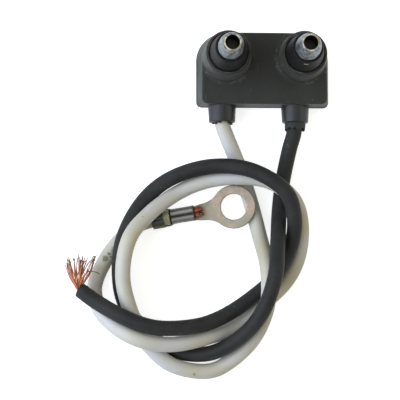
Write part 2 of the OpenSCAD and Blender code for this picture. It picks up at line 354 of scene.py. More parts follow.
def whiteSilicone():
    # silicone rubber, extruded: milky and smooth, a little yellowed, with specks of grime
    material, tree, shader, place = newMaterial("extrudedWhiteSilicone", roughness=0.45)
    shader.inputs["Specular IOR Level"].default_value = 0.4
    yellowed = patches(tree, place, 14, 0.38, 0.66, detail=3.0)[1]
    grime = patches(tree, place, 9, 0.52, 0.7, most=0.17, detail=5.0)[1]
    wobble = patches(tree, place, 0.6, 0.3, 0.7, detail=6.0, roughness=0.7)[1]
    ending = [(terminalPoint(leads["endStainAt"]) / mm, leads["endStain"])]
    colour = painted(tree, leads["whiteShades"], yellowed, [
        ("#8f8a6e", specks(tree, place, 2.2, grime), 0.5),
        ("#5f5c3e", spotMask(tree, place, leads["stains"], wobble), 0.75),
        ("#a19f80", spotMask(tree, place, ending, wobble), 1.0)])
    ripple = addNode(tree, "TexNoise", {"Scale": perMetre(0.8), "Detail": 3.0},
                     {"Vector": place}).outputs["Fac"]
    connect(tree, shader, colour, relief=ripple, strength=0.12, depth=0.1)
    return material


def blackSilicone():
    # silicone rubber, extruded: dark, dulled by a film of dust, with fine rubbed marks
    material, tree, shader, place = newMaterial("extrudedBlackSilicone", roughness=0.6)
    shader.inputs["Specular IOR Level"].default_value = 0.16
    film, dusty = patches(tree, place, 7, 0.4, 0.75, detail=6.0, roughness=0.65)
    marks, rubbed = patches(tree, place, 1.1, 0.66, 0.78, most=0.5, detail=8.0, roughness=0.75)
    grime = addNode(tree, "MapRange", {"From Min": 0.56, "From Max": 0.74,
                    "To Max": 0.4}, {"Value": film}).outputs["Result"]
    colour = painted(tree, leads["blackShades"], dusty, [
        ("#6a6e70", rubbed, 1.0),
        ("#8a8d8c", specks(tree, place, 0.9, grime), 0.3)])
    connect(tree, shader, colour, dusty, (0.5, 0.7), marks, strength=0.2, depth=0.1)
    return material


terminalTurn = Euler([math.radians(a) for a in leads["terminalTilt"]], "XYZ").to_matrix()
terminalAt = Vector(leads["terminalAt"]) * mm


def terminalPoint(u, v=0, w=0):
    # a place on the ring terminal: u along it, v across it, w above its middle
    return terminalAt + terminalTurn @ (Vector((u, v, w)) * mm)


leads["white"] = [Vector(p) * mm for p in [
    (-10.5, -6.5, 4.25), (-10.5, -10.2, 4.25), (-10.5, -13.9, 4.25), (-9.5, -17, 4),
    (-8, -20.5, 3.5), (-5.5, -26.5, 2.2), (-3, -34.5, 2.2), (-1, -43, 4.2),
    (0.5, -51, 8.8), (0.5, -60, 9), (-2.5, -68, 5), (-8.5, -74, 2.5),
    (-14.5, -76.5, 2.5), (-23, -75, 4), (-29, -70, 5.5), (-33, -63, 7),
    (-35.5, -53.5, 8.8), (-34, -44, 10.3), (-29, -37.5, 8), (-22, -32, 5),
    (-15, -29, 5.3), (-7, -28, 6.3), (1, -29, 6.8), (7, -33, 6.3), (9.5, -39, 3.5),
    (9, -47, 2.2), (6, -53.5, 2), (0, -59.5, 2), (-7, -65, 2.4), (-14, -68, 5.5),
    (-23.5, -70, 8.5), (-32.5, -68.5, 10), (-40, -63, 6), (-42.5, -56, 2.7),
    (-40, -49, 2.1), (-36, -43.5, 2.1), (-31.5, -39.7, 2.2)]]
leads["white"] += [terminalPoint(u) for u in (0.5, leads["insulationEnd"])]
leads["black"] = [Vector(p) * mm for p in [
    (8, -6.5, 4.25), (8, -10.2, 4.25), (8, -13.9, 4.25), (7.6, -17, 4),
    (6.5, -21, 3.5), (5, -28.5, 2.2), (4, -36, 3.3), (3, -45, 9.9), (2, -53.5, 13.4),
    (-1, -62, 12.5), (-6, -68, 8.5), (-13.5, -72, 4.5), (-22, -71.5, 2.3),
    (-28, -68, 2.1), (-33.5, -62, 3), (-36, -55.5, 4), (-36, -46, 6), (-33, -38, 5.8),
    (-28, -31.5, 5.5), (-21.5, -27.5, 7), (-13, -25.5, 8.5), (-4, -26.5, 10.5),
    (4, -31, 11), (7, -36.5, 9.4), (7, -44, 6), (2.5, -53, 4.8), (-3.5, -58.5, 5.5),
    (-10.5, -63, 7.5), (-17.5, -65.5, 9.5), (-27, -66, 11.5), (-35, -63.5, 11),
    (-42, -59.5, 8.5), (-46, -56.5, 7)]]


def leadCurve(name, route):
    # a round tube on the smooth curve through the route; a slight waist here and there
    curve = roundCurve(name, leads["diameter"], 16, 10)
    spline = curve.splines.new("BEZIER")
    spline.bezier_points.add(len(route) - 1)
    for i, knot in enumerate(spline.bezier_points):
        before, after = route[max(i - 1, 0)], route[min(i + 1, len(route) - 1)]
        slope = (after - before) / 6
        knot.handle_left_type = knot.handle_right_type = "FREE"
        knot.co = route[i]
        knot.handle_left = route[i] - slope
        knot.handle_right = route[i] + slope
        knot.radius = 1 - leads["waist"] * (1 - math.sin(leads["waistEvery"] * i))
    return curve


def routeLength(route):
    line = smoothRoute(route, 24)
    return sum((b - a).length for a, b in zip(line, line[1:]))


whiteLead = newPiece("whiteLead", leadCurve("whiteLead", leads["white"]), whiteSilicone(),
                     "lead_white")
blackLead = newPiece("blackLead", leadCurve("blackLead", leads["black"]), blackSilicone(),
                     "lead_black")
print("stage: leads laid")


block = {
    "weld": 0.001,
    "voxel": 0.22,
    "rounding": 36,
    "edge": 0.1,    # how strongly plain edges are rounded, from 0 to 1,
    "coverEdge": 0.05,    # and those of the cover
    "root": 1.0,    # the hollow curve where a boss meets the front
    "frontHeight": 8.5,
    "draft": 8.0,    # degrees
    "cornerRadius": 1.5,    # of the two corners beside the leads
    "bossAxes": [(-9.5, 2.2), (9.5, 2.2)],
    "dustHeight": 9.2,
    "dustRing": (6.6, 0.9),    # radius and width of the dust round a boss,
    "rimRing": (5.05, 0.3),    # and of the painted highlight round the inner edge of its rim
    "rootRadius": 6.4,    # where a boss's hollow curve lies,
    "rootWidth": 0.9,    # how wide it is,
    "rootHeight": 1.3,    # and how high
    "plainFrom": -3.0,    # the outer sides stay plain from this y on
    "shades": ("#2f302e", "#3c3d3b"),
    "coverShades": ("#262625", "#30302e"),
}
blockLow, blockHigh = boxOf("housing")
coverHigh = boxOf("back_cover")[1]


def nearBosses(tree, place, height, radius, width):
    # 1 on a circle about each boss's axis, fading out over the width (mm)
    masks = []
    for x, y in block["bossAxes"]:
        away = addNode(tree, "VectorMath", {1: (x * mm, y * mm, height * mm)},
                       {0: place}, operation="DISTANCE")
        off = addNode(tree, "Math", {1: radius * mm},
                      {0: away.outputs["Value"]}, operation="SUBTRACT")
        apart = addNode(tree, "Math", {}, {0: off.outputs[0]}, operation="ABSOLUTE")
        near = addNode(tree, "MapRange", {"From Max": width * mm, "To Min": 1.0,
                       "To Max": 0.0}, {"Value": apart.outputs[0]})
        masks.append(near.outputs["Result"])
    return combined(tree, masks, "MAXIMUM")


def dustyPhenolic(name, shades):
    # phenolic resin, moulded: matt black skin, dusty round the bosses' roots, a painted
    # highlight round the inner edge of their rims, with pale specks and light scratches
    material, tree, shader, place = newMaterial(name, roughness=0.6)
    shader.inputs["Specular IOR Level"].default_value = 0.2
    shader.inputs["Sheen Weight"].default_value = 0.12    # the dust, seen along the walls
    shader.inputs["Sheen Roughness"].default_value = 0.35
    clouded = patches(tree, place, 6, 0.35, 0.7, detail=6.0, roughness=0.6)[1]
    patch, dusty = patches(tree, place, 3.5, 0.52, 0.75, most=0.3, detail=4.0)
    fine = addNode(tree, "TexNoise", {"Scale": perMetre(0.7), "Detail": 5.0},
                   {"Vector": place}).outputs["Fac"]
    broken = combined(tree, [patch, fine], "MULTIPLY")
    masks = []
    for height, ring, source, low, high in (
            (block["dustHeight"], block["dustRing"], broken, 0.24, 0.36),
            (blockHigh.z / mm, block["rimRing"], patch, 0.42, 0.62)):
        kept = addNode(tree, "MapRange", {"From Min": low, "From Max": high},
                       {"Value": source}).outputs["Result"]
        masks.append(combined(tree, [nearBosses(tree, place, height, *ring), kept],
                              "MULTIPLY"))
    stretched = addNode(tree, "Mapping", {"Scale": (1.0, 0.12, 1.0),
                        "Rotation": (0.3, 0.2, 0.9)}, {"Vector": place}).outputs["Vector"]
    scratched = patches(tree, stretched, 0.5, 0.67, 0.76, most=0.35, detail=4.0)[1]
    # the second ring mask lays a pale painted highlight round each rim's inner edge
    colour = painted(tree, shades, clouded, [
        ("#8a8a84", specks(tree, place, 1.5, dusty), 0.3), ("#77776f", masks[0], 0.4),
        ("#85857d", masks[1], 0.6), ("#6d6d68", scratched, 1.0)])
    grain = addNode(tree, "TexNoise", {"Scale": perMetre(0.35), "Detail": 3.0},
                    {"Vector": place}).outputs["Fac"]
    connect(tree, shader, colour, clouded, (0.5, 0.72), grain, strength=0.25, depth=0.06)
    return material


def blockPart(node):
    # a node's mesh with its split corners joined again
    return joined(node + "Copy", [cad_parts[node].data], block["weld"])


def roundedCorners(point):
    # presses the two corners beside the leads onto an arc
    x, y, z = point / mm
    radius = block["cornerRadius"]
    halfWidth = coverHigh.x / mm - z * math.tan(math.radians(block["draft"]))
    across, down = abs(x) - halfWidth + radius, blockLow.y / mm + radius - y
    reach = math.hypot(across, down)
    if across <= 0 or down <= 0 or reach <= radius:
        return point
    keep = (reach - radius) / reach
    return Vector((x - math.copysign(across * keep, x), y + down * keep, z)) * mm


def blockSoftness(point):
    # the bosses' roots are much softer than the plain edges
    x, y, z = point / mm
    axisX, axisY = min(block["bossAxes"],
                       key=lambda axis: math.hypot(x - axis[0], y - axis[1]))
    around = math.hypot(x - axisX, y - axisY)
    root = math.exp(-((around - block["rootRadius"]) / block["rootWidth"]) ** 2
                    - ((z - block["frontHeight"]) / block["rootHeight"]) ** 2)
    beyond = abs(x) > abs(axisX) and y > block["plainFrom"]
    return max(block["edge"], 0 if beyond else block["root"] * root)


housingSkin = fused("housingSkin", blockPart("housing"), block["voxel"],
                    block["rounding"], blockSoftness, roundedCorners)
newPiece("housing", housingSkin, dustyPhenolic("mouldedPhenolic", block["shades"]),
         "housing")
coverSkin = fused("coverSkin", blockPart("back_cover"), block["voxel"],
                  block["rounding"], lambda point: block["coverEdge"], roundedCorners)
newPiece("backCover", coverSkin, dustyPhenolic("mouldedPhenolicCover",
         block["coverShades"]), "back_cover")
print("stage: block made")


prongs = {
    "fit": 0.05,    # clearance round what a stem holds
    "stemTopRadius": 3.8,
    "stemRadius": 4.8,
    "pinRadius": 1.7,
    "shankRadius": 3.0,
    "rimRadius": 2.25,
    "socketRadius": 1.75,
    "journalRadius": 1.5,
    "socketDepth": 6.0,
    "swell": 0.25,    # how far a tip's flank stands out of a straight cone
    "flangeThickness": 1.6,
    "stemShades": ("#0f0f0f", "#171716"),
    "platingShades": ("#3d4345", "#949b9d"),
    # the rim: its pale shade is a painted highlight, its brass shade the bare brass
    "rimShades": ("#cbc6b4", "#8a7750"),
    "pinShades": ("#b8924a", "#d0ad66"),
    # the rim's worn brass and painted highlight: above its height, between two radii, ragged
    "wearAndHighlightRise": (0.02, 0.16),
    "wearAndHighlightRadii": (2.16, 2.02),
    "wearAndHighlightRagged": 0.35,
    "socketShadeRadii": (1.84, 1.76),    # where the painted shade in the socket starts
    "pinShadeHeights": (24.0, 24.8),    # heights where a pin turns dark with painted shade
    "toolRings": 2.513,    # from one band to the next (mm)
    # painted glints on one stem: place and radius in millimetres
    "paintedGlints": [((8.85, -1.83, 22.3), 0.36), ((9.4, -1.88, 22.35), 0.34)],
}


def blackPvc():
    # PVC tube, extruded: darker and more even than the block, with a faint sheen and a painted
    # glint
    material, tree, shader, place = newMaterial("extrudedPvc", roughness=0.6)
    shader.inputs["Specular IOR Level"].default_value = 0.14
    cloud = addNode(tree, "TexNoise", {"Scale": perMetre(2.5), "Detail": 5.0},
                    {"Vector": place}).outputs["Fac"]
    # a pale painted glint at the top edge of one stem
    glint = spotMask(tree, place, prongs["paintedGlints"], cloud)
    colour = painted(tree, prongs["stemShades"], cloud, [("#c9c7ba", glint, 1.0)])
    connect(tree, shader, colour, cloud, (0.5, 0.68), cloud, strength=0.15)
    return material


def platedBrass(axes, rimHeight):
    # brass, turned and nickel-plated: mottled grey, the rim a pale painted highlight with worn
    # brass patches, the socket dark with painted shade
    material, tree, shader, place = newMaterial("nickelPlatedBrass", metallic=0.8,
                                                roughness=0.42)
    mottle, mottled = patches(tree, place, 1.1, 0.38, 0.62, detail=7.0, roughness=0.65)
    brassy = patches(tree, place, 3.2, 0.46, 0.6, detail=3.0)[1]
    rubbed = patches(tree, place, 1.9, 0.4, 0.52, detail=3.0, roughness=0.6)[1]
    flat = addNode(tree, "VectorMath", {1: (1, 1, 0)}, {0: place},
                   operation="MULTIPLY").outputs["Vector"]
    away = [addNode(tree, "VectorMath", {1: (x, y, 0)}, {0: flat},
                    operation="DISTANCE").outputs["Value"] for x, y in axes]
    radius = combined(tree, away, "MINIMUM")    # distance from the nearer prong's axis
    parts = addNode(tree, "SeparateXYZ", {}, {"Vector": place})
    height = addNode(tree, "Math", {1: prongs["wearAndHighlightRagged"] * mm},
                     {0: mottle, 2: parts.outputs["Z"]}, operation="MULTIPLY_ADD").outputs[0]
    low, full = [rimHeight + rise * mm for rise in prongs["wearAndHighlightRise"]]
    edge, middle = [r * mm for r in prongs["wearAndHighlightRadii"]]
    mouth, wall = [r * mm for r in prongs["socketShadeRadii"]]
    high, ring, inside = [
        addNode(tree, "MapRange", {"From Min": start, "From Max": end},
                {"Value": source}).outputs["Result"]
        for source, start, end in ((height, low, full), (radius, edge, middle),
                                   (radius, mouth, wall))]
    # where the rim takes worn brass and a pale painted highlight
    bare = combined(tree, [rubbed, high, ring], "MULTIPLY")
    rim = painted(tree, prongs["rimShades"], brassy)
    plating = painted(tree, prongs["platingShades"], mottled)
    outside = addNode(tree, "Mix", {}, {0: bare, 6: plating, 7: rim},
                      data_type="RGBA").outputs[2]
    # painted shade inside the socket
    colour = addNode(tree, "Mix", {7: toLinear("#2b2a24")},
                     {0: inside, 6: outside}, data_type="RGBA").outputs[2]
    connect(tree, shader, colour, mottle, (0.36, 0.58), mottle, strength=0.25, depth=0.06)
    return material


def turnedBrass():
    # brass, turned: warm yellow, dark as painted shade in the open socket, with soft bands for
    # its tool rings, which are really 0.1 mm apart and drawn 2.5 mm apart, so that they show
    material, tree, shader, place = newMaterial("turnedBrass", metallic=1.0, roughness=0.35)
    rings = addNode(tree, "TexWave",
                    {"Scale": perMetre(prongs["toolRings"]) * math.pi / 10,
                     "Distortion": 1.5}, {"Vector": place}, bands_direction="Z").outputs["Fac"]
    parts = addNode(tree, "SeparateXYZ", {}, {"Vector": place})
    start, end = [height * mm for height in prongs["pinShadeHeights"]]
    socketShade = addNode(tree, "MapRange", {"From Min": start, "From Max": end},
                       {"Value": parts.outputs["Z"]}).outputs["Result"]
    # painted shade on the pin's top, deep in the socket
    colour = painted(tree, prongs["pinShades"], rings, [("#2a2924", socketShade, 1.0)])
    connect(tree, shader, colour, relief=rings, depth=0.03)
    return material


bossTop = blockHigh.z / mm


def stemCorners(low, high, flangeRadius, seatHeight):
    # profile of an insulating stem: flange, body, taper, then the seat for the tip
    inner = prongs["pinRadius"] + prongs["fit"]
    seat = prongs["shankRadius"] + prongs["fit"]
    shoulder = low + prongs["flangeThickness"]
    return [(inner, low, 0.1), (flangeRadius, low, 0.2), (flangeRadius, shoulder, 0.2),
            (prongs["stemRadius"], shoulder, 0.1), (prongs["stemRadius"], bossTop, 1.5),
            (prongs["stemTopRadius"], high, 0.45), (seat, high, 0.2),
            (seat, seatHeight, 0.1), (inner, seatHeight, 0.1)]


def tipCorners(low, high, stemTop, baseRadius):
    # profile of a socket tip: shank, swelling flank, rim and socket
    flank = []
    for i in range(1, 8):
        t = i / 8
        r = baseRadius * (1 - t) + prongs["rimRadius"] * t + prongs["swell"] * 4 * t * (1 - t)
        flank.append((r, stemTop + (high - stemTop) * t, 0.0))
    bottom = high - prongs["socketDepth"]
    return ([(prongs["journalRadius"], low, 0.05), (prongs["shankRadius"], low, 0.1),
             (prongs["shankRadius"], stemTop + 0.02, 0.05),
             (baseRadius, stemTop + 0.02, 0.25)] + flank
            + [(prongs["rimRadius"], high, 0.18), (prongs["socketRadius"], high, 0.14),
               (prongs["socketRadius"], bottom, 0.1), (prongs["journalRadius"], bottom, 0.05)])


pvc = blackPvc()
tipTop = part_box("tip_left")[1][2]
plated = platedBrass([(x * mm, y * mm) for x, y in block["bossAxes"]], tipTop)
brass = turnedBrass()
for side in ("left", "right"):
    low, high = boxOf("stem_" + side)
    tipLow, tipHigh = boxOf("tip_" + side)
    axis = Vector(((low.x + high.x) / 2, (low.y + high.y) / 2, 0))
    mesh = latheMesh("stem_" + side, stemCorners(low.z / mm, high.z / mm,
                     (high.x - low.x) / 2 / mm, tipLow.z / mm), axis)
    newPiece("stem." + side, mesh, pvc, "stem_" + side)
    mesh = latheMesh("tip_" + side, tipCorners(tipLow.z / mm, tipHigh.z / mm, high.z / mm,
                     (tipHigh.x - tipLow.x) / 2 / mm), axis, segments=128)
    newPiece("tip." + side, mesh, plated, "tip_" + side)
    refinish("pin_" + side, brass)
print("stage: prongs made")


exits = {
    "neckRadius": 2.7,
    "boreRadius": 2.05,
    "sleeveRadius": 2.65,
    "sleeveInner": 2.3,
    "baseExtra": 0.25,    # how much wider a spigot is at the block
    "seatDepth": 0.3,    # of the shelf that a sleeve stands on, from the block's wall
    "fit": 0.05,    # clearance round a sleeve
    "tear": 0.75,    # depth of the ragged edge on the sleeves
    "waver": 0.12,    # how far a sleeve's end is out of round,
    "pinch": 0.08,    # and how far it is drawn in
    "weave": 2.539,    # from one slanting band to the next (mm)
    "spigotShades": ("#141619", "#202226"),
    "sleeveShades": ("#131414", "#222324"),
}


def mouldedNeoprene():
    # neoprene, moulded: nearly black with a bluish gloss and a fine skin
    material, tree, shader, place = newMaterial("mouldedNeoprene", roughness=0.32)
    shader.inputs["Specular IOR Level"].default_value = 0.36
    cloud = addNode(tree, "TexNoise", {"Scale": perMetre(1.6), "Detail": 5.0},
                    {"Vector": place}).outputs["Fac"]
    colour = painted(tree, exits["spigotShades"], cloud)
    connect(tree, shader, colour, cloud, (0.26, 0.45), cloud)
    return material


def fibreSleeving():
    # glass-fibre sleeving, woven and lacquered black: matt, with slanting bands for its
    # weave, whose threads are really 0.15 mm apart and which are drawn 2.5 mm apart
    material, tree, shader, place = newMaterial("wovenFibreSleeving", roughness=0.7)
    weave = addNode(tree, "TexWave",
                    {"Scale": perMetre(exits["weave"]) * math.pi / 5 / math.sqrt(3),
                     "Distortion": 2.0}, {"Vector": place},
                    bands_direction="DIAGONAL").outputs["Fac"]
    colour = painted(tree, exits["sleeveShades"], weave)
    connect(tree, shader, colour, relief=weave, strength=0.5, depth=0.08)
    return material


neoprene = mouldedNeoprene()
sleeving = fibreSleeving()
towardsLeads = Matrix.Rotation(math.radians(90), 3, "X")    # turns up into -Y


def spigotMesh(name, low, high):
    # drawn along the lead, height zero at the block's inner wall
    wall = (high.y - blockLow.y) / mm
    tip = (high.y - low.y) / mm
    base = (high.x - low.x) / 2 / mm
    end = base - exits["baseExtra"]
    seat = wall + exits["seatDepth"]
    pocket = exits["sleeveRadius"] + exits["fit"]
    centre = Vector(((low.x + high.x) / 2, high.y, (low.z + high.z) / 2))
    corners = [(exits["boreRadius"], 0, 0.1), (exits["neckRadius"], 0, 0.1),
               (exits["neckRadius"], wall, 0.05), (base, wall, 0.05), (end, tip, 0.45),
               (pocket, tip, 0.15), (pocket, seat, 0.05), (exits["boreRadius"], seat, 0.05)]
    return latheMesh(name, corners, centre, towardsLeads)


def sleeveMesh(name, low, high, route, seed):
    # a thin tube that follows its lead out of the spigot and ends in a torn edge
    draw = random.Random(seed)
    around, along = 72, 12
    waves = [(math.floor(draw.uniform(2, 13)), draw.uniform(0, 6.28), draw.uniform(0.3, 1))
             for _ in range(6)]
    line = smoothRoute(route[:6], 24)

    def centreAt(y):
        return min(line, key=lambda p: abs(p.y - y))

    def endAt(angle):
        rag = sum(size * math.sin(count * angle + phase) for count, phase, size in waves)
        return low.y + (0.5 + 0.5 * math.tanh(rag)) * exits["tear"] * mm

    rows = []
    for k in range(around):
        angle = 2 * math.pi * k / around
        row = []
        for radius, steps in ((exits["sleeveRadius"], range(along)),
                              (exits["sleeveInner"], reversed(range(along)))):
            for j in steps:
                t = j / (along - 1)
                y = high.y + (endAt(angle) - high.y) * t
                middle = centreAt(y)
                r = (radius + exits["waver"] * t ** 4 * math.sin(3 * angle + seed)
                     - exits["pinch"] * t ** 6) * mm
                row.append((middle.x + r * math.cos(angle), y, middle.z + r * math.sin(angle)))
        rows.append(row)
    return loftMesh(name, rows)


for side, route, seed in (("left", leads["white"], 3), ("right", leads["black"], 8)):
    low, high = boxOf("grommet_" + side)
    newPiece("spigot." + side, spigotMesh("spigot_" + side, low, high), neoprene,
             "grommet_" + side)
    low, high = boxOf("sleeve_" + side)
    newPiece("sleeve." + side, sleeveMesh("sleeve_" + side, low, high, route, seed),
             sleeving, "sleeve_" + side)
print("stage: lead exits made")


def drawnCopper(name, root, reach, fresh, old, shadow="#6a3826"):
    # copper, drawn into fine wire: bright orange near the root, browned at the cut ends, and
    # some strands painted darker than their neighbours, as painted shade between them
    material, tree, shader, place = newMaterial(name, metallic=0.9, roughness=0.32)
    away = addNode(tree, "VectorMath", {1: tuple(root)}, {0: place}, operation="DISTANCE")
    browned = addNode(tree, "MapRange", {"From Min": 0.35 * reach,
                      "From Max": reach}, {"Value": away.outputs["Value"]}).outputs["Result"]
    streak = addNode(tree, "TexNoise", {"Scale": perMetre(0.9), "Detail": 4.0},
                     {"Vector": place}).outputs["Fac"]
    mixed = combined(tree, [browned, streak], "MULTIPLY")
    strong = addNode(tree, "Math", {1: 1.7}, {0: mixed}, operation="MULTIPLY",
                     use_clamp=True).outputs[0]
    strand = addNode(tree, "NewGeometry").outputs["Random Per Island"]
    shaded = addNode(tree, "MapRange", {"From Min": 0.45, "From Max": 1.0,
                     "To Max": 0.9}, {"Value": strand}).outputs["Result"]
    colour = painted(tree, (fresh, shadow), shaded, [(old, strong, 1.0)])
    connect(tree, shader, colour, streak, (0.2, 0.42))
    return material


def strandCurves(name, paths, diameter):
    curve = roundCurve(name, diameter, 4, 2)
    for path in paths:
        spline = curve.splines.new("NURBS")
        spline.points.add(len(path) - 1)
        spline.use_endpoint_u = True
        spline.order_u = 4
        for knot, p in zip(spline.points, path):
            knot.co = (*p, 1)
    return curve


def inDisc(draw, radius):
    angle = draw.uniform(0, 2 * math.pi)
    return Vector((math.cos(angle), math.sin(angle))) * radius * math.sqrt(draw.random())


looseEnd = {
    "diameter": 0.21,
    "coreRadius": 0.42,
    "coreShift": (-0.3, -0.35, 0.3),    # from the middle of the cut
    "tuck": 0.6,    # how far inside the insulation a strand starts,
    "straight": 0.2,    # and how far beyond the cut it runs on straight
    "stray": 0.5,    # how far a strand strays at each place, as a share of its tuft's spread
    "tail": 0.5,    # length of its last bend,
    "tailBend": 0.3,    # and how far that turns aside
    # each tuft: strands, spread, and the places that it passes, from the cut end (mm)
    "tufts": [
        (2, 0.12, [(-1.5, 1.3, 0.2), (-2.8, 3.6, 0.5), (-3.7, 6.3, 0.4)]),
        (2, 0.2, [(-1.3, 1.5, 0.4), (-2.5, 3.9, 0.9), (-3.2, 7.2, 0.8)]),
        (5, 0.42, [(-0.9, 1.4, 0.3), (-1.9, 4.0, 0.8), (-2.5, 7.0, 1.0)]),
        (5, 0.45, [(-0.6, 1.4, 0.6), (-1.3, 4.0, 1.2), (-1.5, 7.0, 1.4)]),
        (6, 0.55, [(-0.4, 1.3, 0.2), (-0.7, 3.8, 0.4), (-0.4, 6.8, 0.6)]),
        (5, 0.5, [(-0.2, 1.3, 0.5), (-0.1, 4.2, 1.3), (0.3, 7.4, 1.5)]),
        (5, 0.5, [(0.0, 1.1, 0.2), (0.5, 4.0, 0.4), (1.0, 7.0, 0.3)]),
        (4, 0.55, [(-0.4, 1.5, 0.9), (0.1, 4.2, 1.8), (1.5, 6.6, 2.0)]),
        (4, 0.3, [(0.3, 1.0, 0.3), (1.3, 2.6, 0.6), (2.2, 4.4, 0.9), (3.4, 7.7, 1.0)]),
        (4, 0.26, [(0.2, 0.9, 0.1), (1.2, 2.4, 0.3), (2.6, 4.6, 0.5), (3.3, 7.9, 0.6)]),
        (3, 0.4, [(0.0, 1.2, 1.0), (0.6, 3.0, 1.8), (1.8, 4.6, 2.2)]),
        (1, 0.0, [(0.5, 1.8, 1.0), (1.6, 4.8, 1.6), (2.7, 4.9, 1.7), (4.3, 4.3, 1.6)]),
    ],
}
cutEnd = leads["black"][-1]
cutWay = (leads["black"][-1] - leads["black"][-2]).normalized()
cutSide = cutWay.cross(Vector((0, 0, 1))).normalized()
cutUp = cutSide.cross(cutWay)
tuftLow = boxOf("loose_strands")[0]
draw = random.Random(21)
paths = []
for count, spread, places in looseEnd["tufts"]:
    for _ in range(count):
        seat = inDisc(draw, looseEnd["coreRadius"] * mm)
        start = cutEnd + Vector(looseEnd["coreShift"]) * mm + cutSide * seat.x + cutUp * seat.y
        path = [start - cutWay * looseEnd["tuck"] * mm,
                start + cutWay * looseEnd["straight"] * mm]
        drift = Vector([draw.gauss(0, spread) for _ in range(3)])
        for step, spot in enumerate(places):
            share = (step + 1) / len(places)
            stray = drift * share + Vector([draw.gauss(0, spread * looseEnd["stray"])
                                            for _ in range(3)])
            path.append(cutEnd + (Vector(spot) + stray) * mm + (start - cutEnd) * (1 - share))
        bend = Vector([draw.gauss(0, looseEnd["tailBend"]) for _ in range(3)]) * mm
        way = (path[-1] - path[-2]).normalized()
        path.append(path[-1] + way * looseEnd["tail"] * mm + bend)
        for spot in path[2:]:
            spot.x = max(spot.x, tuftLow.x + 0.6 * looseEnd["diameter"] * mm)
        paths.append(path)
looseStrands = newPiece("looseStrands", strandCurves("looseStrands", paths,
                        looseEnd["diameter"]), drawnCopper("drawnCopper", cutEnd, 8.5 * mm,
                        "#d08a66", "#4c3d39"), "loose_strands")

for side in ("left", "right"):
    core = "conductor_" + side
    refinish(core, drawnCopper("drawnCopperCore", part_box(core)[1], 20 * mm, "#c8764a",
                               "#8a4d30"))
print("stage: copper drawn")


terminal = {
    "gripLength": 3.0,
    "gripRadius": 2.45,
    "gripInner": 2.05,
    "crimpStart": 4.9,
    "crimpEnd": 10.9,
    "crimpRadius": 2.0,
    "crimpInner": 1.2,
    "groove": 0.6,    # depth of the seam between the two lobes
    "grooveWidth": 17.0,    # degrees
    "grooveTurn": 8.0,    # degrees that the seam lies off the top
    "seamRadius": 1.4,    # of the groove's floor
    "allowance": 0.08,    # taken off the crimp, because the skin comes out thicker
    "lobeRise": 0.072,    # each lobe beside the seam: height, place and width (degrees)
    "lobeTurn": 40,
    "lobeWidth": 18,
    "flare": 0.072,    # how far the crimp opens at both ends,
    "flareLength": 0.5,    # and along what length
    "gripSeam": 0.25,    # depth of the seam on the grip, with its place and width (degrees)
    "gripSeamTurn": 100,
    "gripSeamWidth": 5,
    "trough": [2.4, 3.0, 4.4, 4.9, 5.4],    # stations of the sheet under the window
    "troughTurn": (200, 140),    # degrees where its section starts, and that it goes round
    "troughInset": 0.02,
    "stepStart": 4.4,    # where it starts to step down,
    "stepDrop": (0.4, 0.6),    # and by how much each millimetre, outside and inside
    "sheet": 0.8,
    "tongueRoot": 0.6,    # how far the tongue reaches under the crimp,
    "tongueRootHalf": 1.7,    # half its width there,
    "tongueHalf": 2.1,    # and half its width at the neck
    "neckArc": 6.0,    # radius of the concave sides of the neck
    "ringCentre": 20.7,
    "ringRadius": 5.5,
    "holeRadius": 3.25,
    "voxel": 0.13,
    "rounding": 3,
    "ringShades": ("#827b6c", "#a29384"),
    # each shade: colour, whether it is patchy, and ramps (which run, where it starts and
    # where it is full, in millimetres)
    "shades": [
        ("#7a7a75", False, [(0, 3.4, 4.6), (0, 11.6, 10.8)]),    # crimp
        ("#54504a", True, [(0, 4.6, 5.0), (0, 11.0, 10.8), (1, -0.5, -1.7)]),    # painted shade along one side of the crimp
        ("#58604f", False, [(0, 10.6, 11.2), (0, 15.5, 12.5), (1, 0.2, 2.4)]),    # neck
        ("#1f2123", False, [(0, 4.6, 5.0), (0, 11.2, 10.9), (3, 0.4, 0.14),
                            (2, 0.5, 0.9)]),    # seam, darkened as painted shade
        ("#3b3a36", False, [(0, 10.2, 10.9), (0, 11.5, 11.1), (2, -0.6, 0.2)]),    # painted shade in the lower half of the crimp's mouth
        ("#39443f", False, [(0, 4.9, 3.2)]),    # grip, green, darkened as painted shade
        ("#6b5d40", True, [(0, 4.9, 3.2), (1, -0.6, -1.9)]),    # oil on the grip
    ],
}


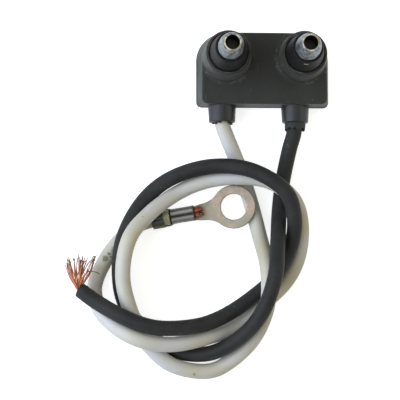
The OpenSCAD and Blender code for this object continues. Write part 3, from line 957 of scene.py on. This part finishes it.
def tinnedSheet():
    # tinned copper, pressed from sheet: the crimp rubbed to steel grey with painted shade on
    # one side, in its mouth and in its seam, the ring warm and tarnished, and the grip green,
    # darkened as painted shade
    material, tree, shader, place = newMaterial("tinnedCopperSheet", metallic=0.8,
                                                roughness=0.42)
    cloud, clouded = patches(tree, place, 2.6, 0.35, 0.68, detail=7.0, roughness=0.6)
    greened = patches(tree, place, 4.5, 0.5, 0.68, most=0.55)[1]
    spots, spotted = patches(tree, place, 0.7, 0.58, 0.74, most=0.5, detail=6.0)
    along = addNode(tree, "VectorMath", {1: tuple(terminalPoint(0))}, {0: place},
                    operation="SUBTRACT").outputs["Vector"]
    # how far along the terminal, across it, above it, and away from the crimp's seam
    runs = [addNode(tree, "VectorMath", {1: tuple(terminalTurn.col[axis])},
                    {0: along}, operation="DOT_PRODUCT").outputs["Value"]
            for axis in range(3)]
    seamAt = -terminal["seamRadius"] * math.sin(math.radians(terminal["grooveTurn"]))
    side = addNode(tree, "Math", {1: seamAt * mm}, {0: runs[1]},
                   operation="SUBTRACT").outputs[0]
    runs.append(addNode(tree, "Math", {}, {0: side}, operation="ABSOLUTE").outputs[0])
    coats = [("#7d8575", greened, 1.0)]
    for hexText, patchy, ramps in terminal["shades"]:
        masks = [clouded] if patchy else []
        masks += [addNode(tree, "MapRange", {"From Min": start * mm,
                          "From Max": end * mm}, {"Value": runs[run]}).outputs["Result"]
                  for run, start, end in ramps]
        coats.append((hexText, combined(tree, masks, "MULTIPLY"), 1.0))
    coats.append(("#655a4d", spotted, 1.0))
    colour = painted(tree, terminal["ringShades"], clouded, coats)
    connect(tree, shader, colour, cloud, (0.34, 0.56), spots, strength=0.25)
    return material


def barrelMesh(name, stations, outer, inner):
    # a tube along the terminal; outer and inner give the radius at (u, angle)
    around = 96
    rows = []
    for k in range(around):
        angle = 2 * math.pi * k / around
        loop = ([(u, outer(u, angle)) for u in stations]
                + [(u, inner(u, angle)) for u in reversed(stations)])
        rows.append([Vector((u, r * math.cos(angle), r * math.sin(angle))) * mm
                     for u, r in loop])
    return loftMesh(name, rows)


def slabMesh(name, outline, bottom, top):
    # a flat closed plate over an outline of (u, v) points
    return loftMesh(name, [[Vector((u, v, w)) * mm for u, v in outline]
                           for w in (bottom, top)], closed=False)


def crimpOuter(u, angle):
    t = terminal
    off = math.degrees((angle - math.radians(90 + t["grooveTurn"]) + math.pi) % (2 * math.pi)
                       - math.pi)
    seam = t["groove"] * math.exp(-(off / t["grooveWidth"]) ** 2)
    lobe = t["lobeRise"] * math.exp(-((abs(off) - t["lobeTurn"]) / t["lobeWidth"]) ** 2)
    mouth = t["flare"] * (math.exp(-((u - t["crimpStart"]) / t["flareLength"]) ** 2)
                          + math.exp(-((t["crimpEnd"] - u) / t["flareLength"]) ** 2))
    return t["crimpRadius"] - t["allowance"] - seam + lobe + mouth


def gripOuter(u, angle):
    t = terminal
    off = math.degrees((angle - math.radians(t["gripSeamTurn"]) + math.pi) % (2 * math.pi)
                       - math.pi)
    return t["gripRadius"] - t["gripSeam"] * math.exp(-(off / t["gripSeamWidth"]) ** 2)


def tongueOutline():
    # both sides of the neck run into the ring on tangent arcs
    t = terminal
    rise = t["tongueHalf"] + t["neckArc"]
    run = math.sqrt((t["neckArc"] + t["ringRadius"]) ** 2 - rise ** 2)
    arcCentre = (t["ringCentre"] - run, rise)
    bend = math.atan2(rise, run)    # how far the neck's arc and the ring's gap open
    upper = [(t["crimpEnd"] - t["tongueRoot"], t["tongueRootHalf"])]
    for k in range(13):
        a = -math.pi / 2 + (math.pi / 2 - bend) * k / 12
        upper.append((arcCentre[0] + t["neckArc"] * math.cos(a),
                      arcCentre[1] + t["neckArc"] * math.sin(a)))
    for k in range(1, 37):
        a = math.pi - bend - (math.pi - bend) * k / 36
        upper.append((t["ringCentre"] + t["ringRadius"] * math.cos(a),
                      t["ringRadius"] * math.sin(a)))
    return upper + [(u, -v) for u, v in reversed(upper[:-1])]


def ringPlate():
    # the flat tongue with its stud hole, cut exactly
    t = terminal
    bottom = -t["crimpRadius"]
    plate = placed("plate", slabMesh("plate", tongueOutline(), bottom, bottom + t["sheet"]))
    circle = [(t["ringCentre"] + t["holeRadius"] * math.cos(2 * math.pi * k / 96),
               t["holeRadius"] * math.sin(2 * math.pi * k / 96)) for k in range(96)]
    punch = placed("punch", slabMesh("punch", circle, bottom - 1, bottom + 2))
    hole = plate.modifiers.new("hole", "BOOLEAN")
    hole.operation = "DIFFERENCE"
    hole.object = punch
    mesh = applied(plate)
    for piece in (plate, punch):
        bpy.data.objects.remove(piece)
    return mesh


def troughMesh():
    # the sheet under the open window, rising on both sides, stepped down to the crimp
    t = terminal
    start, sweep = t["troughTurn"]
    angles = [math.radians(start + sweep * k / 24) for k in range(25)]
    rows = []
    for u in t["trough"]:
        drop = max(0.0, u - t["stepStart"])
        outer = t["gripRadius"] - t["troughInset"] - t["stepDrop"][0] * drop
        inner = t["gripInner"] - t["stepDrop"][1] * drop
        loop = ([(outer, angle) for angle in angles]
                + [(inner, angle) for angle in reversed(angles)])
        rows.append([Vector((u, r * math.cos(angle), r * math.sin(angle))) * mm
                     for r, angle in loop])
    return loftMesh("trough", rows, closed=False)


def terminalMesh():
    t = terminal
    crimpStations = [t["crimpStart"] + (t["crimpEnd"] - t["crimpStart"]) * k / 24
                     for k in range(25)]
    gripStations = [t["gripLength"] * k / 6 for k in range(7)]
    shapes = [barrelMesh("crimp", crimpStations, crimpOuter, lambda u, a: t["crimpInner"]),
              barrelMesh("grip", gripStations, gripOuter, lambda u, a: t["gripInner"]),
              troughMesh(), ringPlate()]
    skin = fused("terminalSkin", joined("terminalParts", shapes), t["voxel"], t["rounding"])
    skin.transform(Matrix.Translation(terminalAt) @ terminalTurn.to_4x4())
    return skin


ringTerminal = newPiece("ringTerminal", terminalMesh(), tinnedSheet(),
                        "ring_terminal")

ringBrush = {
    "strands": 46,
    "diameter": 0.26,
    "radius": 1.0,    # of the bundle inside the crimp
    "end": 12.9,    # how far along the terminal the longest strands reach,
    "uneven": (-0.9, 0.2),    # and how much shorter or longer each one is
    "fan": (1.45, 1.2),    # how the bundle opens, across and upwards
    "lift": 0.05,
    "fray": (0.12, 0.15),
    "tuck": 0.3,    # how far inside the insulation a strand starts,
    "midway": 8,    # a place that it passes in the crimp,
    "straight": 0.2,    # and how far beyond the crimp it runs on straight
    "lowest": (-1.0, -1.05),    # above the tongue: where a strand opens, and at its end
}
draw = random.Random(5)
paths = []
for _ in range(ringBrush["strands"]):
    seat = inDisc(draw, ringBrush["radius"])
    stop = ringBrush["end"] + draw.uniform(*ringBrush["uneven"])
    spread = Vector((seat.x * ringBrush["fan"][0],
                     max(seat.y * ringBrush["fan"][1] + ringBrush["lift"],
                         ringBrush["lowest"][0])))
    paths.append([terminalPoint(leads["insulationEnd"] - ringBrush["tuck"], seat.x, seat.y),
                  terminalPoint(ringBrush["midway"], seat.x, seat.y),
                  terminalPoint(terminal["crimpEnd"] + ringBrush["straight"], seat.x, seat.y),
                  terminalPoint(0.5 * (terminal["crimpEnd"] + stop), spread.x, spread.y),
                  terminalPoint(stop, spread.x + draw.gauss(0, ringBrush["fray"][0]),
                                max(spread.y + draw.gauss(0, ringBrush["fray"][1]),
                                    ringBrush["lowest"][1]))])
ringStrands = newPiece("ringStrands", strandCurves("ringStrands", paths,
                       ringBrush["diameter"]), drawnCopper("drawnCopperCrimped",
                       terminalPoint(terminal["crimpEnd"]), 3 * mm, "#94583f", "#533528"),
                       "ring_strands")
print("stage: ring terminal made")


def castEpoxy():
    # epoxy, cast: dark amber, glossy, a little cloudy
    material, tree, shader, place = newMaterial("castEpoxy", roughness=0.25)
    cloud = addNode(tree, "TexNoise", {"Scale": perMetre(3), "Detail": 4.0},
                    {"Vector": place}).outputs["Fac"]
    connect(tree, shader, painted(tree, ("#3a2f22", "#55462f"), cloud))
    return material


refinish("potting", castEpoxy())


spigotLeft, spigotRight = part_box("grommet_left"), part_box("grommet_right")
for lead, key, spigot, ending, carried in (
        (whiteLead, "white", spigotLeft, "fitting", [ringTerminal, ringStrands]),
        (blackLead, "black", spigotRight, "bare", [looseStrands])):
    route = leads[key]
    routeLength(route)
    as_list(carried)


studio = {
    "floorSize": 3.0,    # metres, as are the lights' places and sizes
    "floorGap": 0.00005,    # keeps the floor clear of what lies on it
    "floorGlow": 0.74,
    "floorShades": ("#8f8970", "#f3f7ff"),    # as it throws light back, and as it is seen
    "aim": (-0.015, -0.035, 0.0),    # what all three lights point at
    # each light: place, size, power and tint
    "lights": {
        "key": ((-0.82, -0.12, 0.53), 1.3, 11.6, (0.77, 0.86, 1.0)),
        "top": ((-0.2, 0.15, 1.1), 0.8, 0.9, (1.0, 1.0, 1.0)),
        "fill": ((0.85, 0.2, 0.45), 0.9, 1.9, (1.0, 0.95, 0.72)),
    },
    "worldLevel": 0.26,
    "worldTint": (1.0, 0.97, 0.75, 1),
}


def paleFloor():
    # painted board: plain white to the eye, a warmer grey in what it throws back
    material, tree, shader, place = newMaterial("paintedBoard", roughness=0.9)
    direct = seenDirectly(tree)
    tree.links.new(painted(tree, studio["floorShades"], direct), shader.inputs["Base Color"])
    glow = addNode(tree, "Math", {1: studio["floorGlow"]}, {0: direct}, operation="MULTIPLY")
    shader.inputs["Emission Color"].default_value = (1, 1, 1, 1)
    tree.links.new(glow.outputs[0], shader.inputs["Emission Strength"])
    return material


def areaLight(name, place, size, power, tint):
    data = bpy.data.lights.new(name, "AREA")
    data.shape = "DISK"
    data.size = size
    data.energy = power
    data.color = tint
    light = placed(name, data)
    light.location = place
    aim = Vector(studio["aim"]) - light.location
    light.rotation_euler = aim.to_track_quat("-Z", "Y").to_euler()


half = studio["floorSize"] / 2
floorMesh = meshFrom("floor", [(x * half, y * half, -studio["floorGap"]) for x, y in (
    (-1, -1), (1, -1), (1, 1), (-1, 1))], [(0, 1, 2, 3)])
floor = placed("floor", floorMesh)
floorMesh.materials.append(paleFloor())
for name, values in studio["lights"].items():
    areaLight(name, *values)

world = bpy.data.worlds.new("world")
bpy.context.scene.world = world
world.use_nodes = True
sky = world.node_tree
backdrop = sky.nodes["Background"]
seen = seenDirectly(sky)
tint = addNode(sky, "Mix", {6: studio["worldTint"], 7: (1, 1, 1, 1)},
               {0: seen}, data_type="RGBA")
level = addNode(sky, "MapRange", {"To Min": studio["worldLevel"], "To Max": 1.0},
                {"Value": seen})
sky.links.new(tint.outputs[2], backdrop.inputs["Color"])
sky.links.new(level.outputs["Result"], backdrop.inputs["Strength"])
print("stage: floor and light set")
